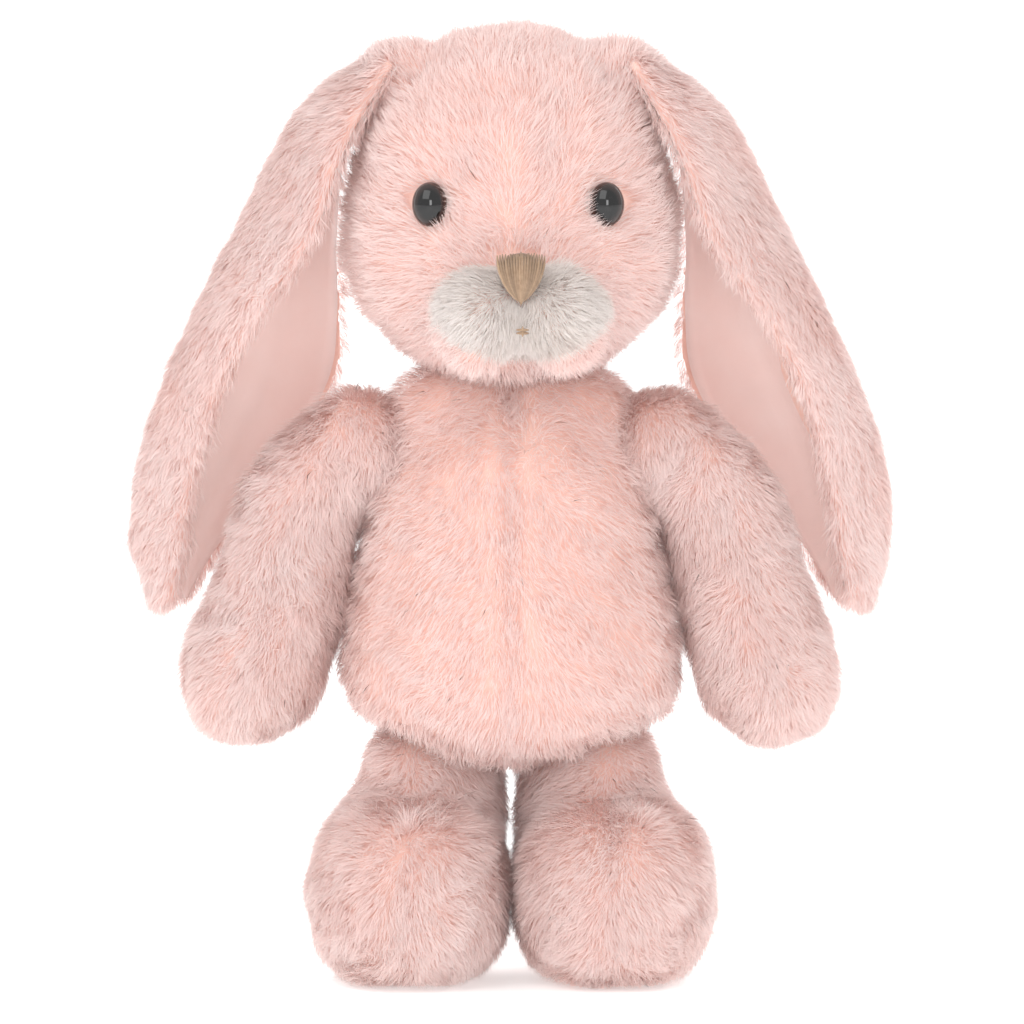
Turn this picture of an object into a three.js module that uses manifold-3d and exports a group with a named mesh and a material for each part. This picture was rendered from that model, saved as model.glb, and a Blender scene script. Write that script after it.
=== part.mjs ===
// Stuffed bunny rabbit, standing. Millimetres, +Z up, the face looks along -Y, the toy's left is +X.
// The origin is on the floor, in the middle of the toy. Every plush panel is a shell whose outer
// surface is the surface of the pile, with a stuffing core behind it.
import * as THREE from 'three';
import { mergeVertices } from 'three/addons/utils/BufferGeometryUtils.js';
import Module from 'manifold-3d';

const wasm = await Module();
wasm.setup();

// ---------------------------------------------------------------- driving dimensions
const PILE = 5; // thickness of backing cloth and pile together
const GAP = 0.35; // air between pieces that touch
const SEAM = 0.4; // air left between two panels along a seam
const OUTSIDE = { around: 12, along: 9 }; // facets round and along the outer surfaces
const INSIDE = { around: 8, along: 6 }; // the same for hollows and stuffing
const SMALL = { around: 10, along: 7 }; // the same for small outer bodies

const HEAD = { x: 0, y: -2, z: 228, side: 55, front: 48, back: 48, up: 70, down: 44, fullness: 2.1 };
const HEAD_TURN = THREE.MathUtils.degToRad(3.5); // the head looks a little to its left
const LOBE = { x: 13.5, y: -43, z: 206.5, side: 17, front: 16, back: 16, up: 18.5, down: 18.5, fullness: 2 };
const SNOUT = { x: 0, y: -42, z: 210, side: 14, front: 18, back: 14, up: 16, down: 16, fullness: 2 };
const MUZZLE = { z: 207, halfWidth: 29, halfHeight: 18.5 };
const GUSSET_HALF = 19;
const EYE = { x: 28, z: 241, radius: 6.2, proud: 4.2, shank: 1.8, length: 14 };
const WASHER = { radius: 5.5, bore: 2.3, thick: 1.2, depth: 6.4 };
const NOSE = { halfWidth: 8, top: 225, bottom: 210, thread: 1.8 };
const MOUTH = { halfWidth: 1.8, z: 201, height: 1.6 };

const NECK = { z: 198, ball: 16, stub: 12, floor: 158, air: 0.8 };
const NOD_ROOM = 17; // degrees that the neck can lean inside the head
const EAR_ROOT = new THREE.Vector3(36, 0, 282);
const EAR = { fur: 4.5, lining: 2.5, sag: 1.2, across: 6, along: 10, liningReach: 0.86, rootHalf: 21, rootRadius: 11 };

const TORSO_DEPTH = 0.86; // front to back, as a share of the width
const ARM = { x: 55.5, z: 186, tilt: 15.5, shoulder: 21, disc: 14, inset: 16.6 };
const STUMP_DEPTH = 26; // how far a shoulder stump runs into the torso
const HIP = { x: 25.5, z: 62, ball: 23.5, air: 1.7 };
const FOOT = { x: 31.5, y: -17, z: 29, side: 31, front: 43, back: 47, up: 31, down: 35, fullness: 2.5 };
const SOLE = { side: 19, front: 26, back: 27, thick: 5 };
const PELLETS_TOP = 17;

const TAIL = { y: 48.7, z: 88, radius: 14 };

// ---------------------------------------------------------------- colours
const plush = new THREE.MeshStandardMaterial({ color: 0xf6d5cd, roughness: 0.95, metalness: 0 });
const whitePlush = new THREE.MeshStandardMaterial({ color: 0xebe4de, roughness: 0.95, metalness: 0 });
const satin = new THREE.MeshStandardMaterial({ color: 0xf3dcd8, roughness: 0.6, metalness: 0 });
const thread = new THREE.MeshStandardMaterial({ color: 0xb69a81, roughness: 0.55, metalness: 0 });
const eyePlastic = new THREE.MeshStandardMaterial({ color: 0x241a18, roughness: 0.08, metalness: 0 });
const washerPlastic = new THREE.MeshStandardMaterial({ color: 0xe8e6e0, roughness: 0.5, metalness: 0 });
const fibre = new THREE.MeshStandardMaterial({ color: 0xf4f3ef, roughness: 1, metalness: 0 });
const pellets = new THREE.MeshStandardMaterial({ color: 0xdad7cf, roughness: 0.8, metalness: 0 });

// ---------------------------------------------------------------- joining and cutting
function solidOf(geometry) {
  const bare = geometry.clone();
  bare.deleteAttribute('normal');
  bare.deleteAttribute('uv');
  const merged = mergeVertices(bare, 1e-3);
  const vertProperties = Float32Array.from(merged.attributes.position.array);
  const triVerts = Uint32Array.from(merged.index.array);
  return new wasm.Manifold(new wasm.Mesh({ numProp: 3, vertProperties, triVerts }));
}

function geometryOf(solid) {
  const mesh = solid.getMesh();
  const geometry = new THREE.BufferGeometry();
  geometry.setAttribute('position', new THREE.BufferAttribute(Float32Array.from(mesh.vertProperties), 3));
  geometry.setIndex(Array.from(mesh.triVerts));
  return geometry;
}

function join(...solids) {
  return solids.reduce((sum, solid) => sum.add(solid));
}

function cut(solid, ...tools) {
  return tools.reduce((rest, tool) => rest.subtract(tool), solid);
}

// The same solid on the toy's other side.
function mirrored(solid) {
  const geometry = geometryOf(solid);
  geometry.scale(-1, 1, 1);
  const index = geometry.index.array;
  for (let i = 0; i < index.length; i += 3) {
    [index[i], index[i + 1]] = [index[i + 1], index[i]];
  }
  return solidOf(geometry);
}

// The solid turned by an angle in degrees about an axis through a point.
function turned(solid, point, axis, degrees) {
  const geometry = geometryOf(solid);
  const turn = new THREE.Quaternion().setFromAxisAngle(axis, THREE.MathUtils.degToRad(degrees));
  geometry.translate(-point.x, -point.y, -point.z);
  geometry.applyQuaternion(turn);
  geometry.translate(point.x, point.y, point.z);
  return solidOf(geometry);
}

// ---------------------------------------------------------------- basic shapes
function box(x0, x1, y0, y1, z0, z1) {
  const geometry = new THREE.BoxGeometry(x1 - x0, y1 - y0, z1 - z0);
  geometry.translate((x0 + x1) / 2, (y0 + y1) / 2, (z0 + z1) / 2);
  return solidOf(geometry);
}

function ball(x, y, z, radius, facets = OUTSIDE) {
  const geometry = new THREE.SphereGeometry(radius, facets.around, facets.along);
  geometry.rotateX(Math.PI / 2);
  geometry.translate(x, y, z);
  return solidOf(geometry);
}

// A rounded body with its own reach each way; fullness above 2 makes it squarer.
function rounded(form, grow = 0, facets = grow < 0 ? INSIDE : OUTSIDE) {
  const geometry = new THREE.SphereGeometry(1, facets.around, facets.along);
  geometry.rotateX(Math.PI / 2);
  const position = geometry.attributes.position;
  for (let i = 0; i < position.count; i += 1) {
    const x = position.getX(i);
    const y = position.getY(i);
    const z = position.getZ(i);
    const p = form.fullness;
    const reach = (Math.abs(x) ** p + Math.abs(y) ** p + Math.abs(z) ** p) ** (-1 / p);
    const depth = y < 0 ? form.front : form.back;
    const height = z < 0 ? form.down : form.up;
    position.setXYZ(
      i,
      form.x + x * reach * (form.side + grow),
      form.y + y * reach * (depth + grow),
      form.z + z * reach * (height + grow),
    );
  }
  return solidOf(geometry);
}

// A body turned round the Z axis from a profile of [radius, height] points, top first or bottom first
// alike; it starts and ends on the axis, and grow moves the profile outwards.
function turnedProfile(points, grow = 0) {
  const facets = grow < 0 ? INSIDE : OUTSIDE;
  const curve = new THREE.SplineCurve(points.map(([r, z]) => new THREE.Vector2(r, z)));
  const line = curve.getSpacedPoints(facets.along + 2);
  const profile = line.map((point, i) => {
    const before = line[Math.max(i - 1, 0)];
    const after = line[Math.min(i + 1, line.length - 1)];
    const along = after.clone().sub(before).normalize();
    const moved = new THREE.Vector2(point.x + along.y * grow, point.y - along.x * grow);
    if (i === 0 || i === line.length - 1) {
      moved.set(0, point.y + (i === 0 ? -grow : grow));
    }
    moved.x = Math.max(moved.x, 0);
    return moved;
  });
  const geometry = new THREE.LatheGeometry(profile, facets.around);
  geometry.rotateX(Math.PI / 2);
  return geometry;
}

// A short rod from one point along a direction.
function rod(start, direction, length, radius, facets = OUTSIDE.around) {
  const geometry = new THREE.CylinderGeometry(radius, radius, length, facets);
  geometry.translate(0, length / 2, 0);
  const up = new THREE.Vector3(0, 1, 0);
  geometry.applyQuaternion(new THREE.Quaternion().setFromUnitVectors(up, direction));
  geometry.translate(start.x, start.y, start.z);
  return solidOf(geometry);
}

const Y_AXIS = new THREE.Vector3(0, 1, 0);
const Z_AXIS = new THREE.Vector3(0, 0, 1);
const CENTRE = new THREE.Vector3(0, 0, 0);

const toy = new THREE.Group();

function addPiece(name, solid, material) {
  const geometry = geometryOf(solid);
  geometry.computeVertexNormals();
  const mesh = new THREE.Mesh(geometry, material);
  mesh.name = name;
  toy.add(mesh);
}

function addPair(name, solid, material) {
  addPiece(name.replace('SIDE', 'left'), solid, material);
  addPiece(name.replace('SIDE', 'right'), mirrored(solid), material);
}

// ---------------------------------------------------------------- ears
// An ear is a long limp leaf, lofted between three lines: the front edge, the ridge along its outer
// side and the back edge. It hangs from the crown with its hollow side facing in and forward.
const earFront = new THREE.CatmullRomCurve3([
  new THREE.Vector3(36, -13, 282),
  new THREE.Vector3(52, -20, 256),
  new THREE.Vector3(62, -20, 230),
  new THREE.Vector3(77, -14, 206),
  new THREE.Vector3(90, -6, 182),
  new THREE.Vector3(98, 1, 156),
  new THREE.Vector3(102, 6, 134),
  new THREE.Vector3(105, 10, 117),
]);
const earRidge = new THREE.CatmullRomCurve3([
  new THREE.Vector3(35, 0, 284),
  new THREE.Vector3(60, 0, 267),
  new THREE.Vector3(76, 3, 238),
  new THREE.Vector3(88, 7, 212),
  new THREE.Vector3(99, 11, 186),
  new THREE.Vector3(109, 14, 160),
  new THREE.Vector3(113, 15, 136),
  new THREE.Vector3(108, 14, 115),
]);
const earBack = new THREE.CatmullRomCurve3([
  new THREE.Vector3(36, 13, 282),
  new THREE.Vector3(55, 24, 258),
  new THREE.Vector3(60, 34, 230),
  new THREE.Vector3(60, 39, 206),
  new THREE.Vector3(67, 40, 182),
  new THREE.Vector3(80, 37, 156),
  new THREE.Vector3(94, 30, 134),
  new THREE.Vector3(104, 20, 116),
]);

// A point on the leaf: across runs from -1 at the front edge to 1 at the back edge, along from the
// root 0 to the tip 1.
function earPoint(across, along) {
  const front = earFront.getPoint(along);
  const ridge = earRidge.getPoint(along);
  const back = earBack.getPoint(along);
  const point = ridge.multiplyScalar(1 - across * across);
  point.addScaledVector(front, (across * across - across) / 2);
  point.addScaledVector(back, (across * across + across) / 2);
  return point;
}

function earNormal(across, along) {
  const h = 0.01;
  const low = Math.max(along - h, 0);
  const high = Math.min(along + h, 1);
  const sideways = earPoint(across + h, along).sub(earPoint(across - h, along));
  const lengthways = earPoint(across, high).sub(earPoint(across, low));
  return lengthways.cross(sideways).normalize();
}

// One layer of the ear, between two heights over the leaf, outwards positive.
function earLayer(inner, outer, reach, tipReach) {
  const geometry = new THREE.BoxGeometry(2, 2, 2, EAR.across, 1, EAR.along);
  const position = geometry.attributes.position;
  for (let i = 0; i < position.count; i += 1) {
    const across = -position.getX(i) * reach;
    const along = ((1 - position.getZ(i)) / 2) * tipReach;
    const height = position.getY(i) > 0 ? outer : inner;
    const point = earPoint(across, along).addScaledVector(earNormal(across, along), height);
    position.setXYZ(i, point.x, point.y, point.z);
  }
  return solidOf(geometry);
}

const earFur = earLayer(GAP / 2, EAR.fur, 1, 1);
const earLining = earLayer(-EAR.lining - EAR.sag, -EAR.sag, EAR.liningReach, 0.97);
// Room for the hanging ear beside the head, and for its root as it turns on the crown seam.
const earRoom = join(
  earLayer(-EAR.lining - EAR.sag - 1.2, EAR.fur + 0.6, 1.05, 1),
  rod(new THREE.Vector3(EAR_ROOT.x, -EAR.rootHalf, EAR_ROOT.z), Y_AXIS, 2 * EAR.rootHalf, EAR.rootRadius),
);
addPair('ear_SIDE_fur', earFur, plush);
addPair('ear_SIDE_lining', earLining, satin);

// ---------------------------------------------------------------- head
function headForm(grow) {
  const lobe = rounded(LOBE, grow, grow < 0 ? INSIDE : SMALL);
  const form = join(rounded(HEAD, grow), lobe, mirrored(lobe), rounded(SNOUT, grow, INSIDE));
  return turned(form, CENTRE, Z_AXIS, THREE.MathUtils.radToDeg(HEAD_TURN));
}

function faceTurned(solid) {
  return turned(solid, CENTRE, Z_AXIS, THREE.MathUtils.radToDeg(HEAD_TURN));
}

// Where a level line through (x, z) meets the front of the head, and which way the surface faces.
function faceSpot(x, z) {
  const dx = x / HEAD.side;
  const dz = (z - HEAD.z) / HEAD.up;
  const dy = Math.sqrt(1 - dx * dx - dz * dz);
  const point = new THREE.Vector3(x, HEAD.y - HEAD.front * dy, z);
  const facing = new THREE.Vector3(dx / HEAD.side, -dy / HEAD.front, dz / HEAD.up).normalize();
  return { point, facing };
}

function neckForm(grow) {
  const plug = ball(0, 0, NECK.z, NECK.ball + grow);
  const start = new THREE.Vector3(0, 0, NECK.floor - grow);
  return join(plug, rod(start, Z_AXIS, NECK.z - NECK.floor, NECK.stub + grow));
}
// The head's socket: a hollow ball, and a cone below it in which the neck leans as the head nods.
const socketLength = NECK.z - NECK.floor;
const coneSpread = socketLength * Math.tan(THREE.MathUtils.degToRad(NOD_ROOM));
const cone = new THREE.CylinderGeometry(NECK.stub + 1, NECK.stub + 1 + coneSpread, socketLength, OUTSIDE.around);
cone.rotateX(Math.PI / 2);
cone.translate(0, 0, NECK.z - socketLength / 2);
const neckRoomInHead = join(ball(0, 0, NECK.z, NECK.ball + NECK.air), solidOf(cone));

const leftEyeSpot = faceSpot(EYE.x, EYE.z);
const rightEyeSpot = faceSpot(-EYE.x, EYE.z);

function eyeForm({ point, facing }, grow) {
  const dome = new THREE.SphereGeometry(EYE.radius + grow, 12, 8);
  dome.scale(1, EYE.proud / EYE.radius, 1);
  const up = new THREE.Vector3(0, 1, 0);
  dome.applyQuaternion(new THREE.Quaternion().setFromUnitVectors(up, facing));
  dome.translate(point.x, point.y, point.z);
  const tail = point.clone().addScaledVector(facing, -EYE.length - grow);
  return faceTurned(join(solidOf(dome), rod(tail, facing, EYE.length, EYE.shank + grow, 8)));
}

function washerForm({ point, facing }, grow) {
  const start = point.clone().addScaledVector(facing, -WASHER.depth - WASHER.thick - grow);
  const disc = rod(start, facing, WASHER.thick + 2 * grow, WASHER.radius + grow, 10);
  const hole = rod(start.clone().addScaledVector(facing, -1), facing, 4, WASHER.bore, 8);
  return faceTurned(grow > 0 ? disc : disc.subtract(hole));
}

const earsRoom = join(earRoom, mirrored(earRoom));
const eyesRoom = join(eyeForm(leftEyeSpot, GAP), eyeForm(rightEyeSpot, GAP));
const washersRoom = join(washerForm(leftEyeSpot, GAP), washerForm(rightEyeSpot, GAP));
const headOuter = headForm(0);
const headHollow = cut(headForm(-PILE), earsRoom);
const headShell = cut(headOuter, headHollow, earsRoom, neckRoomInHead, eyesRoom, washersRoom);

function muzzleRegion(grow) {
  const outline = new THREE.CylinderGeometry(1, 1, 60, 20);
  outline.scale(MUZZLE.halfWidth + grow, 1, MUZZLE.halfHeight + grow);
  outline.translate(0, -60, MUZZLE.z);
  return faceTurned(solidOf(outline));
}
const crownStrip = (half) => faceTurned(join(
  box(-half, half, -90, 90, MUZZLE.z, 320),
  box(-half, half, 0, 90, 150, MUZZLE.z + 1),
));
const fullMuzzle = muzzleRegion(0);
const muzzleSeam = muzzleRegion(SEAM);
const crown = crownStrip(GUSSET_HALF);
const crownSeam = crownStrip(GUSSET_HALF + SEAM);
const leftHalf = faceTurned(box(SEAM / 2, 90, -90, 90, 150, 320));
const rightHalf = faceTurned(box(-90, -SEAM / 2, -90, 90, 150, 320));

addPiece('muzzle_patch', headShell.intersect(fullMuzzle), whitePlush);
addPiece('head_gusset', cut(headShell.intersect(crown), muzzleSeam), plush);
addPiece('head_side_left', cut(headShell.intersect(leftHalf), muzzleSeam, crownSeam), plush);
addPiece('head_side_right', cut(headShell.intersect(rightHalf), muzzleSeam, crownSeam), plush);
const headCore = cut(faceTurned(rounded(HEAD, -PILE - 2 * GAP)), earsRoom, neckRoomInHead, eyesRoom, washersRoom);
addPiece('head_stuffing', headCore, fibre);
addPiece('eye_left', eyeForm(leftEyeSpot, 0), eyePlastic);
addPiece('eye_right', eyeForm(rightEyeSpot, 0), eyePlastic);
addPiece('eye_washer_left', washerForm(leftEyeSpot, 0), washerPlastic);
addPiece('eye_washer_right', washerForm(rightEyeSpot, 0), washerPlastic);

// The nose is a pad of satin stitch laid over the muzzle: flat on top, coming to a rounded point below.
const noseOutline = new THREE.Shape();
noseOutline.moveTo(-NOSE.halfWidth, NOSE.top - 1.5);
noseOutline.quadraticCurveTo(-NOSE.halfWidth, NOSE.top, -NOSE.halfWidth + 2, NOSE.top);
noseOutline.lineTo(NOSE.halfWidth - 2, NOSE.top);
noseOutline.quadraticCurveTo(NOSE.halfWidth, NOSE.top, NOSE.halfWidth, NOSE.top - 1.5);
noseOutline.quadraticCurveTo(NOSE.halfWidth * 0.85, NOSE.top - 9, 1.5, NOSE.bottom);
noseOutline.quadraticCurveTo(0, NOSE.bottom - 0.5, -1.5, NOSE.bottom);
noseOutline.quadraticCurveTo(-NOSE.halfWidth * 0.85, NOSE.top - 9, -NOSE.halfWidth, NOSE.top - 1.5);
const noseBlock = new THREE.ExtrudeGeometry(noseOutline, { depth: 50, bevelEnabled: false, curveSegments: 5 });
noseBlock.rotateX(Math.PI / 2);
noseBlock.translate(0, -30, 0);
const threadLayer = headForm(NOSE.thread).subtract(headForm(GAP));
addPiece('nose_embroidery', threadLayer.intersect(faceTurned(solidOf(noseBlock))), thread);
const mouthBlock = box(-MOUTH.halfWidth, MOUTH.halfWidth, -80, -30, MOUTH.z, MOUTH.z + MOUTH.height);
addPiece('mouth_stitch', threadLayer.intersect(faceTurned(mouthBlock)), thread);

addPiece('neck_stuffing', neckForm(0), fibre);

// ---------------------------------------------------------------- arms
const armTilt = THREE.MathUtils.degToRad(ARM.tilt);
const armAlong = new THREE.Vector3(Math.sin(armTilt), 0, -Math.cos(armTilt));
const armOutward = new THREE.Vector3(Math.cos(armTilt), 0, Math.sin(armTilt));
const armTop = new THREE.Vector3(ARM.x, 0, ARM.z);
const shoulder = armTop.clone().addScaledVector(armAlong, ARM.shoulder).addScaledVector(armOutward, -ARM.inset);
const ARM_PROFILE = [[0, -118], [13, -114.5], [21, -103], [22.2, -89], [20.6, -65], [19.2, -42], [18.4, -24],
  [16.5, -9], [10.5, -2.2], [0, 0]];

function armForm(grow) {
  const geometry = turnedProfile(ARM_PROFILE, grow);
  geometry.rotateY(-armTilt);
  geometry.translate(armTop.x, armTop.y, armTop.z);
  return solidOf(geometry);
}

// Half of the space on the outer (1) or inner (-1) side of the arm's long seam.
function armHalf(side) {
  const geometry = new THREE.BoxGeometry(80, 120, 200);
  geometry.translate(side * (40 + SEAM / 2), 0, -60);
  geometry.rotateY(-armTilt);
  geometry.translate(armTop.x, armTop.y, armTop.z);
  return solidOf(geometry);
}

const shoulderRecess = rod(shoulder.clone().addScaledVector(armOutward, -12), armOutward, 12, ARM.disc + 2);
const armShell = cut(armForm(0), armForm(-PILE), shoulderRecess);
addPair('arm_SIDE_outer', armShell.intersect(armHalf(1)), plush);
addPair('arm_SIDE_inner', armShell.intersect(armHalf(-1)), plush);
addPair('arm_SIDE_stuffing', cut(armForm(-PILE - GAP), shoulderRecess), fibre);

// ---------------------------------------------------------------- legs
const LEG_PROFILE = [[0, 24], [14, 24], [21.5, 30], [23.3, 40], [23.5, 50], [HIP.ball, HIP.z],
  [20.6, HIP.z + 11.5], [12, HIP.z + 20.3], [0, HIP.z + HIP.ball]];

function legForm(grow) {
  const column = turnedProfile(LEG_PROFILE, grow);
  column.translate(HIP.x, 0, 0);
  const foot = rounded(FOOT, grow);
  const floorLevel = box(-100, 100, -100, 100, -60, grow < 0 ? -grow : 0);
  return cut(join(solidOf(column), foot), floorLevel);
}

function soleRegion(grow) {
  const pad = new THREE.CylinderGeometry(1, 1, 2 * (SOLE.thick + grow), 16);
  pad.rotateX(Math.PI / 2);
  const corner = pad.attributes.position;
  for (let i = 0; i < corner.count; i += 1) {
    const depth = corner.getY(i) < 0 ? SOLE.front : SOLE.back;
    corner.setX(i, corner.getX(i) * (SOLE.side + grow));
    corner.setY(i, corner.getY(i) * (depth + grow));
  }
  pad.translate(FOOT.x, FOOT.y, 0);
  return solidOf(pad);
}

const legOuterForm = legForm(0);
const legShell = cut(legOuterForm, legForm(-PILE), soleRegion(SEAM));
const legSeam = 28;
addPair('leg_SIDE_outer', legShell.intersect(box(legSeam + SEAM / 2, 90, -90, 90, -5, 120)), plush);
addPair('leg_SIDE_inner', legShell.intersect(box(-5, legSeam - SEAM / 2, -90, 90, -5, 120)), plush);
addPair('foot_SIDE_sole', legOuterForm.intersect(soleRegion(0)), plush);
const legCore = cut(legForm(-PILE - GAP), soleRegion(GAP));
addPair('leg_SIDE_stuffing', legCore.intersect(box(-5, 90, -90, 90, PELLETS_TOP + GAP, 120)), fibre);
addPair('foot_SIDE_pellet_bag', legCore.intersect(box(-5, 90, -90, 90, 0, PELLETS_TOP)), pellets);

// ---------------------------------------------------------------- torso
const TORSO_PROFILE = [[0, 63], [23, 64], [40, 69], [50, 79], [54.5, 92], [54.5, 106], [51.5, 120], [48.5, 135],
  [45, 150], [41, 163], [33, 173.5], [18, 180.5], [0, 182]];

function torsoForm(grow) {
  const geometry = turnedProfile(TORSO_PROFILE, grow);
  geometry.scale(1, TORSO_DEPTH, 1);
  return solidOf(geometry);
}

function shoulderStump(grow) {
  const start = shoulder.clone().addScaledVector(armOutward, -STUMP_DEPTH);
  return rod(start, armOutward, STUMP_DEPTH - GAP + grow, ARM.disc + grow);
}

const hipRooms = (grow) => join(
  ball(HIP.x, 0, HIP.z, HIP.ball + grow),
  ball(-HIP.x, 0, HIP.z, HIP.ball + grow),
);
const legsRoom = hipRooms(HIP.air);
const neckHole = neckForm(0.5);
const stumps = join(shoulderStump(0), mirrored(shoulderStump(0)));
const torsoOuter = cut(join(torsoForm(0), stumps), legsRoom, neckHole);
const torsoHollow = cut(torsoForm(-PILE), hipRooms(PILE + SEAM));
const torsoShell = cut(torsoOuter, torsoHollow);
const quarter = (sx, sy) => box(
  sx > 0 ? SEAM / 2 : -90,
  sx > 0 ? 90 : -SEAM / 2,
  sy > 0 ? SEAM / 2 : -90,
  sy > 0 ? 90 : -SEAM / 2,
  40,
  220,
);
addPiece('torso_front_left', torsoShell.intersect(quarter(1, -1)), plush);
addPiece('torso_front_right', torsoShell.intersect(quarter(-1, -1)), plush);
addPiece('torso_back_left', torsoShell.intersect(quarter(1, 1)), plush);
addPiece('torso_back_right', torsoShell.intersect(quarter(-1, 1)), plush);
const torsoCore = cut(torsoForm(-PILE - GAP), hipRooms(PILE + SEAM + GAP), neckHole);
addPiece('torso_stuffing', torsoCore, fibre);

// ---------------------------------------------------------------- tail
const tailSeat = torsoForm(GAP);
const tailBall = ball(0, TAIL.y, TAIL.z, TAIL.radius, SMALL);
const tailHollow = ball(0, TAIL.y - 1, TAIL.z, TAIL.radius - PILE + 1, INSIDE);
addPiece('tail_shell', cut(tailBall, tailHollow, tailSeat), plush);
addPiece('tail_stuffing', cut(ball(0, TAIL.y - 1, TAIL.z, TAIL.radius - PILE + 1 - GAP, INSIDE), tailSeat), fibre);

export default toy;
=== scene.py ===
import math

import bmesh
import bpy
import numpy as np
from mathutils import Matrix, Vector, kdtree
from mathutils.bvhtree import BVHTree


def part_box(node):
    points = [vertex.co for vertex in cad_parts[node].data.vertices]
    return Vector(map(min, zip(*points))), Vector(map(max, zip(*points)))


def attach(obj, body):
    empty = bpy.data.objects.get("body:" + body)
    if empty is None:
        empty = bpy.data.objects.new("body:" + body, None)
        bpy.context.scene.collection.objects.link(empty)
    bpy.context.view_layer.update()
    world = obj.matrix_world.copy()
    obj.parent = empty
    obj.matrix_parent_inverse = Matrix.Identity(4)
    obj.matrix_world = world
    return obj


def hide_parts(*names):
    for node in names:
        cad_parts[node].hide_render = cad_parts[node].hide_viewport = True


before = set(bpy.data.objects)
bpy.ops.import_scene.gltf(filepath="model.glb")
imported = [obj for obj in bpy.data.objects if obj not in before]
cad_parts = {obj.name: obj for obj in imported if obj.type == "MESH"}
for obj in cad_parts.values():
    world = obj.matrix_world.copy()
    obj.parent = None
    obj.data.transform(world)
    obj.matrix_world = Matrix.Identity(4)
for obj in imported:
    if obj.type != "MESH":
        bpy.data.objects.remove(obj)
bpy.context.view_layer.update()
MM = 0.001

# ---------------------------------------------------------------- studio
# A pale sweep with a wide soft light over and in front of it. The camera is level with the toy's chest
# and far away, so that the toy shows almost no perspective.
LENS_MM = 200
SENSOR_MM = 36
VIEW_HEIGHT = 0.3185
EYE_LEVEL = math.radians(3.5)
AIM = Vector((0.0003, 0.0, 0.1440))
distance = LENS_MM / SENSOR_MM * VIEW_HEIGHT
camera = bpy.data.objects.new("camera", bpy.data.cameras.new("camera"))
camera.data.lens = LENS_MM
camera.data.sensor_width = SENSOR_MM
camera.location = AIM + Vector((0, -math.cos(EYE_LEVEL), math.sin(EYE_LEVEL))) * distance
camera.rotation_euler = (math.pi / 2 - EYE_LEVEL, 0, 0)
bpy.context.scene.collection.objects.link(camera)
bpy.context.scene.camera = camera
bpy.context.scene.view_settings.view_transform = "Standard"


def srgb(code):
    """A hex colour as the linear values that a shader socket holds."""
    values = [int(code[i:i + 2], 16) / 255 for i in (1, 3, 5)]
    return [v / 12.92 if v <= 0.04045 else ((v + 0.055) / 1.055) ** 2.4 for v in values] + [1.0]


def node(tree, kind, inputs=None, **settings):
    """Adds one node with its settings, and sets or links its inputs."""
    new = tree.nodes.new(kind)
    for key, value in settings.items():
        setattr(new, key, value)
    for key, value in (inputs or {}).items():
        if isinstance(value, bpy.types.NodeSocket):
            tree.links.new(value, new.inputs[key])
        else:
            new.inputs[key].default_value = value
    return new


def new_material(name):
    """A new material, with its node tree and its Principled shader."""
    material = bpy.data.materials.new(name)
    material.use_nodes = True
    return material, material.node_tree, material.node_tree.nodes["Principled BSDF"]


world = bpy.data.worlds.new("studio")
world.use_nodes = True
bpy.context.scene.world = world
world.node_tree.nodes["Background"].inputs["Color"].default_value = srgb("#FFFFFF")
world.node_tree.nodes["Background"].inputs["Strength"].default_value = 0.92


def softbox(name, place, aim, width, height, power):
    """A rectangular studio light turned towards a spot; sizes in metres, power in watts."""
    light = bpy.data.lights.new(name, "AREA")
    light.shape = "RECTANGLE"
    light.size = width
    light.size_y = height
    light.energy = power
    lamp = bpy.data.objects.new(name, light)
    lamp.location = place
    lamp.rotation_euler = (Vector(aim) - Vector(place)).to_track_quat("-Z", "Y").to_euler()
    bpy.context.scene.collection.objects.link(lamp)


softbox("key_softbox", (-0.45, -1.0, 1.05), (0, 0, 0.15), 0.9, 0.9, 4.6)
softbox("front_softbox", (0.12, -1.5, 0.40), (0, 0, 0.10), 0.30, 0.45, 2.2)
softbox("rim_softbox", (0.8, 0.7, 0.8), (0, 0, 0.15), 0.7, 0.7, 2.5)

SWEEP_FRONT = 4
SWEEP_HALF_WIDTH = 9
SWEEP_BACK = 1.4
SWEEP_RADIUS = 0.9
SWEEP_TOP = 4.0
bpy.ops.object.select_all(action="DESELECT")
bpy.ops.mesh.primitive_grid_add(x_subdivisions=1, y_subdivisions=60, size=2, location=(0, 0, 0))
floor = bpy.context.object
floor.name = "studio_sweep"
for vertex in floor.data.vertices:
    run = (vertex.co.y + 1) / 2 * (SWEEP_FRONT + SWEEP_BACK + SWEEP_TOP)
    bend = min(max(run - SWEEP_FRONT - SWEEP_BACK, 0) / SWEEP_RADIUS, math.pi / 2)
    rise = max(run - SWEEP_FRONT - SWEEP_BACK - SWEEP_RADIUS * math.pi / 2, 0)
    flat = min(run - SWEEP_FRONT, SWEEP_BACK)
    vertex.co = (vertex.co.x * SWEEP_HALF_WIDTH, flat + SWEEP_RADIUS * math.sin(bend),
                 SWEEP_RADIUS * (1 - math.cos(bend)) + rise)
bpy.ops.object.shade_smooth()
paper, tree, shader = new_material("matt_white_paper")
grain = node(tree, "ShaderNodeTexNoise", {"Scale": 900.0, "Detail": 2.0})
place = node(tree, "ShaderNodeTexCoord")
tree.links.new(place.outputs["Object"], grain.inputs["Vector"])
tone = node(tree, "ShaderNodeMix", {"Factor": grain.outputs["Fac"]}, data_type="RGBA")
tone.inputs["A"].default_value = srgb("#FBFBFB")
tone.inputs["B"].default_value = srgb("#FFFFFF")
tree.links.new(tone.outputs["Result"], shader.inputs["Base Color"])
shader.inputs["Roughness"].default_value = 1.0
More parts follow.
